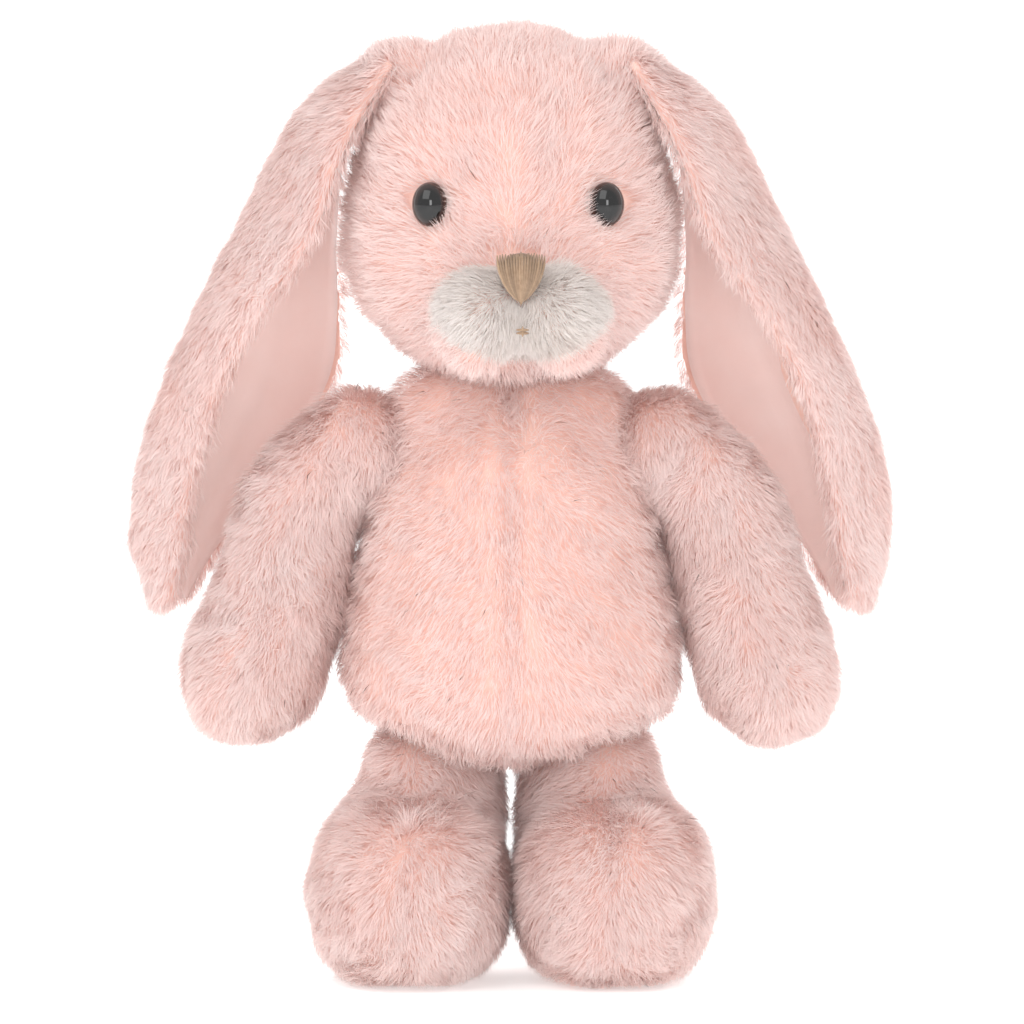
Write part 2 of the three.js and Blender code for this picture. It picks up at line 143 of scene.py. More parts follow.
shader.inputs["Emission Color"].default_value = srgb("#FFFFFF")
shader.inputs["Emission Strength"].default_value = 0.40
floor.data.materials.append(paper)

# ---------------------------------------------------------------- stuffed bodies: backing cloth
# Each body is a bag of knitted backing cloth, sewn from its panels and filled with fibre until it is
# round. Here the panels and the filling are closed into one smooth skin, which lies under the pile, so
# it is drawn in by the pile's standing height.
PILE_HEIGHT = 5.6 * MM


def chosen(*objects):
    """Selects these objects alone, the first of them active."""
    bpy.ops.object.select_all(action="DESELECT")
    for obj in objects:
        obj.select_set(True)
    bpy.context.view_layer.objects.active = objects[0]


def finish_modifier(obj, kind, **settings):
    """Adds a modifier with its settings and applies it."""
    modifier = obj.modifiers.new(kind.title(), kind)
    for key, value in settings.items():
        setattr(modifier, key, value)
    chosen(obj)
    bpy.ops.object.modifier_apply(modifier=modifier.name)


def mean_half_size(obj):
    """Half the size of the piece's box, on average over its three sides."""
    spots = np.empty(len(obj.data.vertices) * 3, np.float64)
    obj.data.vertices.foreach_get("co", spots)
    spots = spots.reshape(-1, 3)
    low, high = spots.min(0), spots.max(0)
    return float(((high - low) / 2).mean())


def sewn_skin(name, panels, drawn_in=PILE_HEIGHT, voxel=2.6 * MM, relax=50, extra=(), taut=False):
    """The panels and filling of a body closed into one smooth skin; a taut one keeps every bulge."""
    copies = list(extra)
    for panel in panels:
        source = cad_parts[panel]
        copy = bpy.data.objects.new(name, source.data.copy())
        bpy.context.scene.collection.objects.link(copy)
        copies.append(copy)
    chosen(*copies)
    bpy.ops.object.join()
    skin = bpy.context.object
    skin.name = name
    skin.data.name = name
    skin.data.materials.clear()
    finish_modifier(skin, "REMESH", mode="VOXEL", voxel_size=voxel)
    size_before = mean_half_size(skin)
    outside = skin.copy()
    outside.data = skin.data.copy()
    bpy.context.scene.collection.objects.link(outside)
    finish_modifier(skin, "SMOOTH", factor=0.5, iterations=relax)
    if taut:
        finish_modifier(outside, "SMOOTH", factor=0.5, iterations=4)
        finish_modifier(skin, "SHRINKWRAP", target=outside, wrap_mode="ABOVE_SURFACE", offset=0.0)
        shrunk = 0.0
    else:
        shrunk = size_before - mean_half_size(skin)
    bpy.data.objects.remove(outside)
    finish_modifier(skin, "DISPLACE", strength=shrunk - drawn_in, mid_level=0.0)
    finish_modifier(skin, "SMOOTH", factor=0.5, iterations=4)
    chosen(skin)
    bpy.ops.object.shade_smooth()
    return skin


# Knitted polyester backing, seen only as a warm shade between the roots of the pile.
backing, tree, shader = new_material("knitted_backing_cloth")
place = node(tree, "ShaderNodeTexCoord")
knit = node(tree, "ShaderNodeTexNoise", {"Vector": place.outputs["Object"], "Scale": 700.0, "Detail": 3.0})
shade = node(tree, "ShaderNodeMix", {"Factor": knit.outputs["Fac"]}, data_type="RGBA")
shade.inputs["A"].default_value = srgb("#F9CFC1")
shade.inputs["B"].default_value = srgb("#FBDACF")
tree.links.new(shade.outputs["Result"], shader.inputs["Base Color"])
bumps = node(tree, "ShaderNodeBump", {"Height": knit.outputs["Fac"], "Strength": 0.4, "Distance": 0.0003})
tree.links.new(bumps.outputs["Normal"], shader.inputs["Normal"])
shader.inputs["Roughness"].default_value = 0.95


# ---------------------------------------------------------------- pile
# Long-pile faux fur: fine polyester fibres knitted into the backing. They stand up, then bend over
# the way the cloth was brushed, and gather into soft locks. Each fibre here is a tapering blade.
def waves(spots, size, seed):
    """A smooth random vector field whose swells are about this size."""
    rng = np.random.default_rng(seed)
    field = np.zeros_like(spots)
    for _ in range(7):
        towards = rng.normal(size=3)
        towards *= 2 * math.pi / (size * rng.uniform(0.7, 1.6) * np.linalg.norm(towards))
        phase = rng.uniform(0, 2 * math.pi)
        field += np.sin(spots @ towards + phase)[:, None] * rng.normal(size=3)
    return field / 2.6


def unit(vectors):
    """The same directions at a length of one."""
    return vectors / np.maximum(np.linalg.norm(vectors, axis=1), 1e-12)[:, None]


def scattered(skin, count, rng):
    """Random spots over a skin, by area, with the skin's smooth normals there."""
    mesh = skin.data
    mesh.calc_loop_triangles()
    spots = np.empty(len(mesh.vertices) * 3)
    mesh.vertices.foreach_get("co", spots)
    spots = spots.reshape(-1, 3)
    normals = np.empty(len(mesh.vertices) * 3)
    mesh.vertices.foreach_get("normal", normals)
    normals = normals.reshape(-1, 3)
    corners = np.empty(len(mesh.loop_triangles) * 3, np.int32)
    mesh.loop_triangles.foreach_get("vertices", corners)
    corners = corners.reshape(-1, 3)
    a, b, c = (spots[corners[:, k]] for k in range(3))
    areas = np.linalg.norm(np.cross(b - a, c - a), axis=1)
    picks = rng.choice(len(corners), count, p=areas / areas.sum())
    u = np.sqrt(rng.random(count))
    v = rng.random(count)
    weights = np.stack([1 - u, u * (1 - v), u * v], axis=1)
    chosen_corners = corners[picks]
    roots = (spots[chosen_corners] * weights[:, :, None]).sum(1)
    facing = unit((normals[chosen_corners] * weights[:, :, None]).sum(1))
    return roots, facing


FIBRES_IN_A_LOCK = 26
FLOOR_GAP = 0.0006


def grow_pile(name, skin, count, comb, seed, material, length=7.4 * MM, width=0.23 * MM,
              keep=None, lock=2.6 * MM, rise=1.0):
    """Fibres over a skin; comb gives the way they are brushed, keep the spots that bear pile."""
    rng = np.random.default_rng(seed)
    roots, normals = scattered(skin, count, rng)
    if keep is not None:
        bears = keep(roots, normals)
        roots, normals = roots[bears], normals[bears]
    number = len(roots)
    brushed = comb(roots, normals)
    brushed = brushed + 0.30 * waves(roots, 22 * MM, seed + 1) + 0.20 * waves(roots, 7 * MM, seed + 2)
    brushed += 0.30 * rng.normal(size=(number, 3))
    brushed = unit(brushed - (brushed * normals).sum(1)[:, None] * normals)
    reach = length * (1 + 0.14 * waves(roots, 14 * MM, seed + 3)[:, 0]) * rng.uniform(0.62, 1.18, number)
    reach = reach[:, None]
    stand = rise * rng.uniform(0.8, 1.2, number)[:, None]
    middle = roots + reach * 0.5 * unit(normals * 1.25 * stand + brushed * 0.8)
    stray = 0.14 * rng.normal(size=(number, 3))
    tips = middle + reach * 0.5 * unit(normals * 0.5 * stand + brushed * 1.0 + stray)
    lock_count = max(number // FIBRES_IN_A_LOCK, 1)
    locks = kdtree.KDTree(lock_count)
    leaders = rng.choice(number, lock_count, replace=False)
    for i, leader in enumerate(leaders):
        locks.insert(Vector(roots[leader]), i)
    locks.balance()
    leader_of = leaders[np.array([locks.find(Vector(spot))[1] for spot in roots])]
    apart = np.linalg.norm(roots - roots[leader_of], axis=1)
    pull = (0.36 * np.exp(-(apart / lock) ** 2) * rng.uniform(0.3, 1.0, number))[:, None]
    tips += pull * (tips[leader_of] - tips)
    middle += 0.3 * pull * (middle[leader_of] - middle)
    sideways = unit(np.cross(tips - roots, normals) + 0.25 * rng.normal(size=(number, 3)) * reach)
    half = (width / 2 * rng.uniform(0.7, 1.25, number))[:, None] * sideways
    corners = np.stack([roots, middle - half, middle + half, tips], axis=1)
    corners[:, :, 2] = np.maximum(corners[:, :, 2], FLOOR_GAP)
    mesh = bpy.data.meshes.new(name)
    mesh.vertices.add(number * 4)
    mesh.vertices.foreach_set("co", corners.reshape(-1).astype(np.float32))
    first = np.arange(number)[:, None] * 4
    mesh.loops.add(number * 6)
    both_faces = first + np.array([[0, 2, 1, 1, 2, 3]])
    mesh.loops.foreach_set("vertex_index", both_faces.reshape(-1).astype(np.int32))
    mesh.polygons.add(number * 2)
    mesh.polygons.foreach_set("loop_start", (np.arange(number * 2) * 3).astype(np.int32))
    mesh.update(calc_edges=True)
    own = unit(np.cross(sideways, tips - roots))
    own *= np.sign((own * normals).sum(1))[:, None]
    soft = unit(normals * 0.52 + own * 0.48 + 0.08 * rng.normal(size=(number, 3)))
    mesh.shade_smooth()
    mesh.normals_split_custom_set_from_vertices(np.repeat(soft, 4, axis=0).tolist())
    along = mesh.attributes.new("along", "FLOAT", "POINT")
    along.data.foreach_set("value", np.tile(np.array([0, 0.5, 0.5, 1], np.float32), number))
    strand = mesh.attributes.new("strand", "FLOAT", "POINT")
    strand.data.foreach_set("value", np.repeat(rng.random(number).astype(np.float32), 4))
    mesh.materials.append(material)
    pile = bpy.data.objects.new(name, mesh)
    bpy.context.scene.collection.objects.link(pile)
    return pile


def pile_material(name, root, middle, tip, patch):
    """Dyed polyester pile, pale at the tips; its deeper colour at the roots is painted shade, where light bounces
    between fibres.
    """
    material, tree, shader = new_material(name)
    along = node(tree, "ShaderNodeAttribute", attribute_name="along")
    strand = node(tree, "ShaderNodeAttribute", attribute_name="strand")
    place = node(tree, "ShaderNodeTexCoord")
    ramp = node(tree, "ShaderNodeValToRGB", {"Fac": along.outputs["Fac"]})
    # The root colour is painted shade at the foot of the pile, where the fibres hide each other.
    ramp.color_ramp.elements[0].color = srgb(root)
    ramp.color_ramp.elements[1].color = srgb(tip)
    ramp.color_ramp.elements.new(0.5).color = srgb(middle)
    cloud = node(tree, "ShaderNodeTexNoise", {"Vector": place.outputs["Object"], "Scale": 34.0, "Detail": 3.0})
    drift = node(tree, "ShaderNodeMapRange",
                 {"Value": cloud.outputs["Fac"], "From Min": 0.35, "From Max": 0.7, "To Max": 0.55})
    patchy = node(tree, "ShaderNodeMix", {"Factor": drift.outputs["Result"], "A": ramp.outputs["Color"]},
                  data_type="RGBA")
    patchy.inputs["B"].default_value = srgb(patch)
    lighter = node(tree, "ShaderNodeMapRange", {"Value": strand.outputs["Fac"], "To Min": 0.93, "To Max": 1.06})
    varied = node(tree, "ShaderNodeHueSaturation",
                  {"Value": lighter.outputs["Result"], "Color": patchy.outputs["Result"]})
    tree.links.new(varied.outputs["Color"], shader.inputs["Base Color"])
    shader.inputs["Roughness"].default_value = 0.72
    shader.inputs["Specular IOR Level"].default_value = 0.25
    shader.inputs["Sheen Weight"].default_value = 0.25
    shader.inputs["Sheen Roughness"].default_value = 0.5
    through = node(tree, "ShaderNodeBsdfTranslucent", {"Color": varied.outputs["Color"]})
    both = node(tree, "ShaderNodeMixShader", {0: 0.42, 1: shader.outputs["BSDF"], 2: through.outputs["BSDF"]})
    output = tree.nodes["Material Output"]
    tree.links.new(both.outputs["Shader"], output.inputs["Surface"])
    return material


# Each pile's first colour, at the roots, is painted shade.
pink_pile = pile_material("pink_polyester_pile", "#F8CEC4", "#FBE8E4", "#FDF5F3", "#FBE5E0")
white_pile = pile_material("off_white_polyester_pile", "#EFE5DF", "#F5EFEB", "#F9F5F3", "#F3ECE7")


def moved(skin, shift):
    """Moves the points of a skin by what shift gives for their places."""
    spots = np.empty(len(skin.data.vertices) * 3)
    skin.data.vertices.foreach_get("co", spots)
    spots = spots.reshape(-1, 3)
    skin.data.vertices.foreach_set("co", (spots + shift(spots)).reshape(-1).astype(np.float32))
    skin.data.update()


def eased(value, low, high):
    """Runs from 0 at low to 1 at high, level at both ends."""
    part = np.clip((value - low) / (high - low), 0, 1)
    return part * part * (3 - 2 * part)


def ball(name, middle, radii):
    """A round lump of filling, to be closed into a skin with the panels."""
    bpy.ops.object.select_all(action="DESELECT")
    bpy.ops.mesh.primitive_uv_sphere_add(segments=32, ring_count=20, radius=1, location=middle)
    lump = bpy.context.object
    lump.name = name
    lump.scale = radii
    bpy.ops.object.transform_apply(location=True, rotation=True, scale=True)
    return lump


def finished_body(name, skin, body, panels, filling, brushed, count, seed, **pile_settings):
    """Attaches a body's skin to the body with its backing cloth, grows the pile on it, and hides the parts they
    stand for.
    """
    skin.data.materials.append(backing)
    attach(skin, body)
    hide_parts(*filling)
    pile = grow_pile(name + "_pile", skin, count, brushed, seed, pink_pile, **pile_settings)
    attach(pile, body)
    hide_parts(*panels)


# ---------------------------------------------------------------- torso
# A pear-shaped bag of four panels, with a seam down the chest from which the pile is brushed down
# and to both sides. It narrows at the shoulders, where the arms lie against it.
def torso_brush(spots, normals):
    side = np.tanh(spots[:, 0] / (12 * MM)) * np.clip(-normals[:, 1] + 0.3, 0, 1)
    return np.stack([side * 0.6, np.zeros(len(spots)), np.full(len(spots), -0.9)], axis=1)


def torso_shift(spots):
    at_shoulders = 0.13 * eased(spots[:, 2], 0.140, 0.182)
    at_hips = 0.09 * eased(-spots[:, 2], -0.088, -0.066)
    narrow = spots[:, 0] * (0.03 - at_shoulders - at_hips)
    seam = 2.2 * MM * np.exp(-(spots[:, 0] / (3.5 * MM)) ** 2) * (spots[:, 1] < 0)
    return np.stack([narrow, seam, 0.5 * MM * eased(spots[:, 2], 0.160, 0.180)], axis=1)


torso_panels = ("torso_front_left", "torso_front_right", "torso_back_left", "torso_back_right")
shoulders = ball("shoulders", (0, 2 * MM, 0.169), (50 * MM, 27 * MM, 28 * MM))
torso_skin = sewn_skin("torso_cloth", torso_panels + ("torso_stuffing",), extra=[shoulders], relax=40)
moved(torso_skin, torso_shift)
finished_body("torso", torso_skin, "torso", torso_panels, ("torso_stuffing",), torso_brush, 97000, 11)

# ---------------------------------------------------------------- arms
# Each arm is a bag of an outer and an inner panel. Its round shoulder is sewn against the torso
# beside the neck, and it hangs a little outwards.
SHOULDER = Vector((47, 0, 165)) * MM
SHOULDER_RADII = (19.5 * MM, 20 * MM, 20.5 * MM)
ARM_LEAN = math.radians(15.5)
ARM_TOP = (55.5 * MM, 186 * MM)
for side, hand in (("left", 1), ("right", -1)):
    def arm_side_of(spots, hand=hand):
        middle = hand * (ARM_TOP[0] + (ARM_TOP[1] - spots[:, 2]) * math.tan(ARM_LEAN))
        return spots[:, 0] - middle

    def arm_brush(spots, normals, hand=hand):
        down = np.array([[math.sin(ARM_LEAN) * hand, 0, -math.cos(ARM_LEAN)]])
        parting = np.tanh(arm_side_of(spots) / (8 * MM)) * np.clip(-normals[:, 1], 0, 1)
        return down + parting[:, None] * np.array([[0.45, 0, 0]])

    def arm_shift(spots, hand=hand):
        seam = 1.2 * MM * np.exp(-(arm_side_of(spots) / (3 * MM)) ** 2)
        seam = seam * (spots[:, 1] < 0) * (spots[:, 2] < 0.15)
        lower = eased(-spots[:, 2], -0.150, -0.085)
        inner = eased(-hand * arm_side_of(spots), -2 * MM, 12 * MM)
        hugging = inner * eased(-spots[:, 2], -0.172, -0.150) * eased(spots[:, 2], 0.072, 0.095)
        corner = eased(hand * arm_side_of(spots), -8 * MM, 8 * MM) * eased(spots[:, 2], 0.150, 0.180)
        outwards = hand * MM * (1.6 * lower - 4.2 * hugging - 6.0 * corner) + 0.04 * arm_side_of(spots)
        return np.stack([outwards, seam, -2.5 * MM * lower - 6.0 * MM * corner], axis=1)

    shoulder = ball("shoulder", (SHOULDER.x * hand, SHOULDER.y, SHOULDER.z), SHOULDER_RADII)
    arm_panels = (f"arm_{side}_outer", f"arm_{side}_inner")
    arm_skin = sewn_skin(f"arm_{side}_cloth", arm_panels + (f"arm_{side}_stuffing",), extra=[shoulder],
                         relax=30)
    moved(arm_skin, arm_shift)
    finished_body(f"arm_{side}", arm_skin, f"arm_{side}", arm_panels, (f"arm_{side}_stuffing",),
                  arm_brush, 70000, 21 + hand)

# ---------------------------------------------------------------- legs
# A leg and its foot are one bag of an outer and an inner panel closed by a sole. A seam runs down
# the front and over the toes.
LEG_SEAM = 31.5 * MM
LEG_MIDDLE = 31 * MM
for side, hand in (("left", 1), ("right", -1)):
    def leg_brush(spots, normals, hand=hand):
        sideways = np.tanh((spots[:, 0] - hand * LEG_SEAM) / (10 * MM)) * np.clip(-normals[:, 1] + 0.3, 0, 1)
        forward = -0.3 * eased(-spots[:, 2], -0.055, -0.025)
        return np.stack([sideways * 0.75, forward, np.full(len(spots), -0.75)], axis=1)

    def leg_shift(spots, hand=hand):
        seam = 1.6 * MM * np.exp(-((spots[:, 0] - hand * LEG_SEAM) / (3 * MM)) ** 2) * (spots[:, 1] < -0.02)
        wide = 0.10 * (spots[:, 0] - hand * LEG_MIDDLE)
        return np.stack([wide, seam, np.zeros(len(spots))], axis=1)

    leg_panels = (f"leg_{side}_outer", f"leg_{side}_inner", f"foot_{side}_sole")
    leg_filling = (f"leg_{side}_stuffing", f"foot_{side}_pellet_bag")
    leg_skin = sewn_skin(f"leg_{side}_cloth", leg_panels + leg_filling, relax=30)
    moved(leg_skin, leg_shift)
    finished_body(f"leg_{side}", leg_skin, f"leg_{side}", leg_panels, leg_filling,
                  leg_brush, 86000, 31 + hand)

# ---------------------------------------------------------------- tail
# A small round pom-pom of the same pile, sewn low on the back.
def tail_brush(spots, normals):
    return np.tile(np.array([[0, 0.2, -0.5]]), (len(spots), 1))


tail_core = ball("tail_core", (0, 44 * MM, 0.088), (11 * MM, 14 * MM, 11 * MM))
tail_skin = sewn_skin("tail_cloth", ("tail_shell", "tail_stuffing"), extra=[tail_core], relax=10,
                      drawn_in=3.5 * MM, taut=True)
finished_body("tail", tail_skin, "torso", ("tail_shell",), ("tail_stuffing",), tail_brush, 9000, 41,
              rise=1.4)

# ---------------------------------------------------------------- neck
# The neck is a short stuffed stub between the torso and the head, with pile wherever it can be seen.
bpy.ops.object.select_all(action="DESELECT")
bpy.ops.mesh.primitive_cylinder_add(vertices=40, radius=12.5 * MM, depth=26 * MM, location=(0, 0, 0.183))
neck_skin = bpy.context.object
neck_skin.name = "neck_cloth"
bpy.ops.object.transform_apply(location=True, rotation=True, scale=True)
finish_modifier(neck_skin, "REMESH", mode="VOXEL", voxel_size=2 * MM)
finish_modifier(neck_skin, "SMOOTH", factor=0.5, iterations=10)
finished_body("neck", neck_skin, "neck", (), ("neck_stuffing",), tail_brush, 9000, 45, length=9 * MM, rise=1.3)

# ---------------------------------------------------------------- head
# A round head: two side panels, a gusset over the top, and an off-white muzzle of two puffed lobes.
# Pile is brushed away from the nose, and down at the back.
TURN = math.radians(3.5)
FACE_MIDDLE = np.array([0.0, -2.0, 0.0]) * MM
face_right = np.array([math.cos(TURN), math.sin(TURN), 0])
nose_low, nose_high = (np.array(v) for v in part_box("nose_embroidery"))
nose_middle = (nose_low + nose_high) / 2
nose_middle[1] = nose_low[1]


def across_face(spots):
    return (spots - FACE_MIDDLE) @ face_right


def head_brush(spots, normals):
    away = unit(spots - nose_middle)
    back = eased(spots[:, 1], -0.005, 0.03)[:, None]
    return away * (1 - back) + np.array([[0, 0.2, -0.9]]) * back


MUZZLE = (23.5 * MM, 13.0 * MM, 208.5 * MM)


def muzzle_distance(spots):
    """Below 1 within the muzzle's outline, which dips under the nose."""
    across = across_face(spots)
    top = spots[:, 2] - MUZZLE[2]
    top = top + 3.5 * MM * np.exp(-(across / (7 * MM)) ** 2) * (top > 0)
    return np.hypot(across / MUZZLE[0], top / MUZZLE[1])


def on_muzzle(spots, normals=None):
    return (muzzle_distance(spots) < 1) & (spots[:, 1] < -0.02)


def clear_of_nose(spots):
    """False under the nose's triangle, where no pile grows."""
    across = across_face(spots)
    down = np.clip((0.224 - spots[:, 2]) / 0.014, 0, 1)
    beyond = (spots[:, 2] > 0.224) | (spots[:, 2] < 0.210) | (spots[:, 1] > 0)
    return (np.abs(across) > 7 * MM * (1 - down)) | beyond


def head_shift(spots):
    across = across_face(spots)
    front = eased(-spots[:, 1], 0.025, 0.045)
    crease = 2.6 * MM * np.exp(-(across / (4 * MM)) ** 2)
    crease = crease * eased(spots[:, 2], 0.188, 0.197) * eased(-spots[:, 2], -0.216, -0.206)
    lobes = -4.5 * MM * np.exp(-((np.abs(across) - 13 * MM) / (9 * MM)) ** 2
                               - ((spots[:, 2] - 0.2055) / (11 * MM)) ** 2)
    sockets = 0.8 * MM * np.exp(-((np.abs(across) - 27.5 * MM) / (7 * MM)) ** 2
                                - ((spots[:, 2] - 0.241) / (8 * MM)) ** 2)
    cheeks = 0.008 * across * np.exp(-((spots[:, 2] - 0.224) / (28 * MM)) ** 2)
    chin = eased(-spots[:, 2], -0.200, -0.190)
    forward = -1.0 * MM * chin * front
    return np.stack([cheeks, (crease + lobes) * front + sockets * (spots[:, 1] < 0) + forward,
                     -4.5 * MM * chin], axis=1)


head_panels = ("head_gusset", "head_side_left", "head_side_right")
core = ball("core", (0, 0, 0.202), (22 * MM, 22 * MM, 17 * MM))
seats = [ball("ear_seat", (x * MM, 1 * MM, 0.2760), (19 * MM, 18 * MM, 17.5 * MM)) for x in (-33, 33)]
head_skin = sewn_skin("head_cloth", head_panels + ("muzzle_patch", "head_stuffing"), extra=[core] + seats,
                      relax=24, taut=True)
moved(head_skin, head_shift)
head_skin.data.materials.append(backing)
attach(head_skin, "head")
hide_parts("head_stuffing")
eye_spots = [(np.array(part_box(f"eye_{side}")[0]) + np.array(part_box(f"eye_{side}")[1])) / 2
             for side in ("left", "right")]
EYE_DROP = 1.2 * MM
EYE_PARTING = 5.0 * MM


def head_keep(spots, normals):
    seen = ~on_muzzle(spots) & clear_of_nose(spots)
    for eye in eye_spots:
        from_eye = np.hypot(spots[:, 0] - eye[0], spots[:, 2] - eye[2] + EYE_DROP)
        seen &= (from_eye > EYE_PARTING) | (spots[:, 1] > -0.02)
    return seen


head_pile = grow_pile("head_pile", head_skin, 100000, head_brush, 51, pink_pile, keep=head_keep, length=8 * MM)
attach(head_pile, "head")
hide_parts(*head_panels)


def muzzle_brush(spots, normals):
    side = np.tanh(across_face(spots) / (5 * MM))[:, None] * face_right[None, :]
    return 0.7 * unit(spots - nose_middle) + 0.55 * side + np.array([[0, 0, -0.25]])


muzzle_pile = grow_pile("muzzle_pile", head_skin, 420000, muzzle_brush, 52, white_pile,
                        keep=lambda spots, normals: on_muzzle(spots) & clear_of_nose(spots), length=6.5 * MM)
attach(muzzle_pile, "head")
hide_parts("muzzle_patch")

# ---------------------------------------------------------------- eyes
# Round safety eyes of glossy plastic: black in the middle, dark brown towards the rim. A shank holds
# each behind the face with a washer.
eye_plastic, tree, shader = new_material("glossy_eye_plastic")
ring = node(tree, "ShaderNodeAttribute", attribute_name="ring")
ramp = node(tree, "ShaderNodeValToRGB", {"Fac": ring.outputs["Fac"]})
ramp.color_ramp.elements[0].position = 0.62
ramp.color_ramp.elements[0].color = srgb("#0B0A0B")
ramp.color_ramp.elements[1].position = 0.92
ramp.color_ramp.elements[1].color = srgb("#3A2A26")
ramp.color_ramp.elements.new(0.76).color = srgb("#2B1F1D")
tree.links.new(ramp.outputs["Color"], shader.inputs["Base Color"])
shader.inputs["Roughness"].default_value = 0.06
shader.inputs["Coat Weight"].default_value = 0.25
shader.inputs["Coat Roughness"].default_value = 0.03
EYE_SET = 3.6 * MM
for side in ("left", "right"):
    low, high = (np.array(v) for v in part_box(f"eye_{side}"))
    middle = (low + high) / 2
    radius = (high[2] - low[2]) / 2 * 0.97
    bpy.ops.object.select_all(action="DESELECT")
    bpy.ops.mesh.primitive_uv_sphere_add(segments=48, ring_count=32, radius=radius, rotation=(math.pi / 2, 0, 0),
                                         location=(middle[0], low[1] + radius * 0.75 + EYE_SET,
                                                   middle[2] - EYE_DROP))
    eye = bpy.context.object
    eye.name = f"eye_{side}_dome"
    bpy.ops.object.transform_apply(location=False, rotation=True, scale=True)
    eye.scale = (0.9, 0.75, 1.14)
    bpy.ops.object.transform_apply(location=True, rotation=True, scale=True)
    bpy.ops.mesh.primitive_cylinder_add(vertices=24, radius=1.8 * MM, depth=10 * MM, rotation=(math.pi / 2, 0, 0),
                                        location=(middle[0], high[1] - 5 * MM, middle[2]))
    shank = bpy.context.object
    bpy.ops.object.transform_apply(location=True, rotation=True, scale=True)
    chosen(eye, shank)
    bpy.ops.object.join()
    bpy.ops.object.shade_smooth()
    spots = np.array([v.co for v in eye.data.vertices])
    away = np.hypot((spots[:, 0] - middle[0]) / (0.9 * radius),
                    (spots[:, 2] - middle[2] + EYE_DROP) / (1.14 * radius))
    ring_values = eye.data.attributes.new("ring", "FLOAT", "POINT")
    ring_values.data.foreach_set("value", np.clip(away, 0, 1).astype(np.float32))
    eye.data.materials.append(eye_plastic)
    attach(eye, "head")
    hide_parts(f"eye_{side}")

# ---------------------------------------------------------------- nose and mouth
# The nose is satin-stitched in taupe thread: every stitch runs from the flat top edge to the point
# at the bottom. The mouth is a few short stitches in the crease of the muzzle.
thread, tree, shader = new_material("taupe_embroidery_thread")
place = node(tree, "ShaderNodeTexCoord")
twist = node(tree, "ShaderNodeTexNoise", {"Vector": place.outputs["Object"], "Scale": 900.0, "Detail": 2.0})
sheen = node(tree, "ShaderNodeMix", {"Factor": twist.outputs["Fac"]}, data_type="RGBA")
sheen.inputs["A"].default_value = srgb("#86694F")
sheen.inputs["B"].default_value = srgb("#B3967B")
strand = node(tree, "ShaderNodeAttribute", attribute_name="strand")
lighter = node(tree, "ShaderNodeMapRange", {"Value": strand.outputs["Fac"], "To Min": 0.72, "To Max": 1.12})
varied = node(tree, "ShaderNodeHueSaturation",
              {"Value": lighter.outputs["Result"], "Color": sheen.outputs["Result"]})
tree.links.new(varied.outputs["Color"], shader.inputs["Base Color"])
shader.inputs["Roughness"].default_value = 0.42
shader.inputs["Sheen Weight"].default_value = 0.3


def thread_tube(path, radius, sides=8):
    """A round thread along a path, as points and quads; both ends run to a point."""
    path = np.array(path)
    ahead = unit(np.gradient(path, axis=0))
    across = unit(np.cross(ahead, np.array([[0.0, 1.0, 0.0]])))
    upward = np.cross(across, ahead)
    steps = len(path)
    taper = np.sqrt(np.clip(np.sin(np.linspace(0.12, math.pi - 0.12, steps)), 0, 1)) * radius
    turn = np.linspace(0, 2 * math.pi, sides, endpoint=False)
    rings = path[:, None, :] + taper[:, None, None] * (
        np.cos(turn)[None, :, None] * across[:, None, :] + np.sin(turn)[None, :, None] * upward[:, None, :])
    points = rings.reshape(-1, 3).tolist()
    faces = [(r * sides + k, r * sides + (k + 1) % sides, (r + 1) * sides + (k + 1) % sides, (r + 1) * sides + k)
             for r in range(steps - 1) for k in range(sides)]
    faces.append(tuple(reversed(range(sides))))
    faces.append(tuple((steps - 1) * sides + k for k in range(sides)))
    return points, faces


def mesh_of(name, parts, material):
    """One mesh of several parts, each with its own value of the strand attribute."""
    points, faces, strands = [], [], []
    tints = np.random.default_rng(7).random(len(parts))
    for (part_points, part_faces), tint in zip(parts, tints):
        first = len(points)
        points += part_points
        strands += [tint] * len(part_points)
        faces += [tuple(first + k for k in face) for face in part_faces]
    mesh = bpy.data.meshes.new(name)
    mesh.from_pydata(points, [], faces)
    mesh.update()
    new = bpy.data.objects.new(name, mesh)
    bpy.context.scene.collection.objects.link(new)
    shaped = bmesh.new()
    shaped.from_mesh(mesh)
    bmesh.ops.recalc_face_normals(shaped, faces=shaped.faces)
    shaped.to_mesh(mesh)
    shaped.free()
    strand = mesh.attributes.new("strand", "FLOAT", "POINT")
    strand.data.foreach_set("value", np.array(strands, np.float32))
    mesh.shade_smooth()
    mesh.materials.append(material)
    return new


nose_width = (nose_high[0] - nose_low[0]) / 2
nose_top, nose_bottom = nose_high[2], nose_low[2]
NOSE_SET = 2.2 * MM
nose_front = nose_low[1] + NOSE_SET
rng = np.random.default_rng(61)
stitches = []
STITCHES = 19
for layer, count in ((0, STITCHES), (1, STITCHES - 1)):
    for i in range(count):
        start = ((i + 0.5) / count * 2 - 1) * 0.97
        path = []
        jitter = rng.normal() * 0.25 * MM
        for t in np.linspace(0, 1, 12):
            across = start * nose_width * (1 - t ** 1.9) ** 0.8 * 0.97
            down = (nose_top + jitter * (1 - t) - 0.9 * MM * start ** 4
                    - t * (nose_top - nose_bottom) * (1 - 0.1 * abs(start) ** 2))
            dome = 2.6 * MM * (across / nose_width) ** 2 + 1.4 * MM * (2 * t - 0.9) ** 2
            lift = 0.45 * MM * layer - 0.6 * MM
            path.append(nose_middle * np.array([1, 0, 0]) + face_right * across
                        + np.array([0, nose_front + dome - lift, down]))
        stitches.append(thread_tube(path, 0.52 * MM))
pad = ball("nose_pad", (nose_middle[0], nose_front + 5.2 * MM, nose_middle[2] + 1.6 * MM),
           (nose_width * 0.8, 4.2 * MM, (nose_top - nose_bottom) * 0.42))
